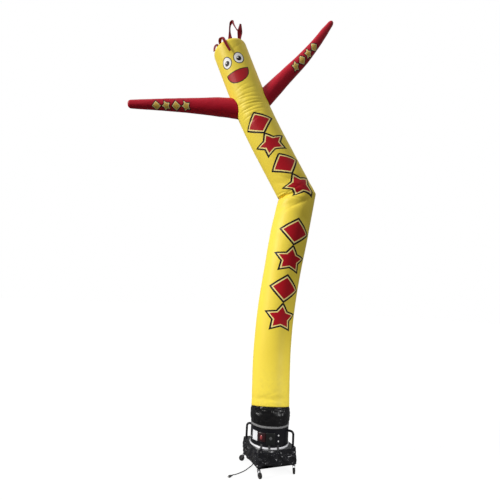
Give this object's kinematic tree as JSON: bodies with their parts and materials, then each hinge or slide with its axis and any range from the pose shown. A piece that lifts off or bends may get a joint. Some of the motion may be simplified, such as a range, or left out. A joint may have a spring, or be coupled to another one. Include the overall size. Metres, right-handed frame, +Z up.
{
  "type": "air dancer and blower",
  "caption": "Tall inflated cloth tube figure with tapering arms and cut hair strips, folded by the wind, on a round blower over a square wheeled base with a cloth intake cover.",
  "frame": {"origin": "on the floor, under the middle of the whole figure", "axes": "+Z up, -Y towards the viewer of the front, +X to the viewer's right"},
  "size_m": [2.708, 0.8477, 5.8074],
  "materials": {
    "yellow_cloth": "coated nylon, satin",
    "red_cloth": "coated nylon, satin",
    "crimson_cloth": "coated nylon, dull",
    "black_cloth": "coated nylon, satin",
    "shiny_black_cloth": "coated cloth, shiny and creased",
    "webbing": "woven strap",
    "black_webbing": "woven strap",
    "black_steel": "semi-gloss powder coat",
    "bright_steel": "plated",
    "chrome": "bright plated",
    "rubber": "matte",
    "cord_rubber": "matte",
    "white_plastic": "smooth",
    "dark_red_plastic": "smooth",
    "red_lens": "polished",
    "black_plastic": "moulded",
    "zinc": "plated"
  },
  "bodies": {
    "figure_and_blower": {"body_tube": "yellow_cloth", "arm_left": "red_cloth", "arm_right": "red_cloth", "hair_1": "crimson_cloth", "hair_2": "crimson_cloth", "hair_3": "crimson_cloth", "hair_4": "crimson_cloth", "hair_5": "crimson_cloth", "sleeve": "black_cloth", "strap": "webbing", "drum": "black_steel", "flange_ring": "bright_steel", "deck": "black_steel", "base_pan": "black_steel", "post_front": "black_steel", "post_right": "black_steel", "post_back": "black_steel", "post_left": "black_steel", "intake_guard": "black_steel", "motor": "black_steel", "handle_left": "black_steel", "handle_right": "black_steel", "blank_plate": "white_plastic", "lamp_housing": "dark_red_plastic", "lamp_lens": "red_lens", "control_box": "black_plastic", "box_boss": "black_plastic", "bolt_1": "zinc", "bolt_2": "zinc", "bolt_3": "zinc", "intake_cover": "shiny_black_cloth", "tab_1": "black_webbing", "tab_2": "black_webbing", "tab_3": "black_webbing", "tab_4": "black_webbing", "tab_5": "black_webbing", "cord_gland": "black_plastic", "cord_lead": "cord_rubber", "cord_coil": "cord_rubber", "cord_run": "cord_rubber", "plug_body": "black_plastic", "plug_blade_1": "zinc", "plug_blade_2": "zinc", "plug_earth_pin": "zinc"},
    "caster_fork_front": {"fork_front": "chrome"},
    "caster_fork_right": {"fork_right": "chrome"},
    "caster_fork_back": {"fork_back": "chrome"},
    "caster_fork_left": {"fork_left": "chrome"},
    "caster_wheel_front": {"wheel_front": "rubber"},
    "caster_wheel_right": {"wheel_right": "rubber"},
    "caster_wheel_back": {"wheel_back": "rubber"},
    "caster_wheel_left": {"wheel_left": "rubber"}
  },
  "joints": [
    {"name": "front_swivel", "type": "hinge", "parent": "figure_and_blower", "child": "caster_fork_front", "pos_m": [0.6011, -0.28814, 0.0905], "axis": [0, 0, 1], "continuous": true},
    {"name": "right_swivel", "type": "hinge", "parent": "figure_and_blower", "child": "caster_fork_right", "pos_m": [1.01214, -0.1229, 0.0905], "axis": [0, 0, 1], "continuous": true},
    {"name": "back_swivel", "type": "hinge", "parent": "figure_and_blower", "child": "caster_fork_back", "pos_m": [0.8469, 0.28814, 0.0905], "axis": [0, 0, 1], "continuous": true},
    {"name": "left_swivel", "type": "hinge", "parent": "figure_and_blower", "child": "caster_fork_left", "pos_m": [0.43586, 0.1229, 0.0905], "axis": [0, 0, 1], "continuous": true},
    {"name": "front_wheel_spin", "type": "hinge", "parent": "caster_fork_front", "child": "caster_wheel_front", "pos_m": [0.61594, -0.31188, 0.033], "axis": [0.848, 0.5299, 0], "continuous": true},
    {"name": "right_wheel_spin", "type": "hinge", "parent": "caster_fork_right", "child": "caster_wheel_right", "pos_m": [1.01214, -0.1509, 0.033], "axis": [1, 0, 0], "continuous": true},
    {"name": "back_wheel_spin", "type": "hinge", "parent": "caster_fork_back", "child": "caster_wheel_back", "pos_m": [0.86004, 0.31286, 0.033], "axis": [-0.8829, 0.4695, 0], "continuous": true},
    {"name": "left_wheel_spin", "type": "hinge", "parent": "caster_fork_left", "child": "caster_wheel_left", "pos_m": [0.40882, 0.13015, 0.033], "axis": [-0.2588, -0.9659, 0], "continuous": true}
  ]
}
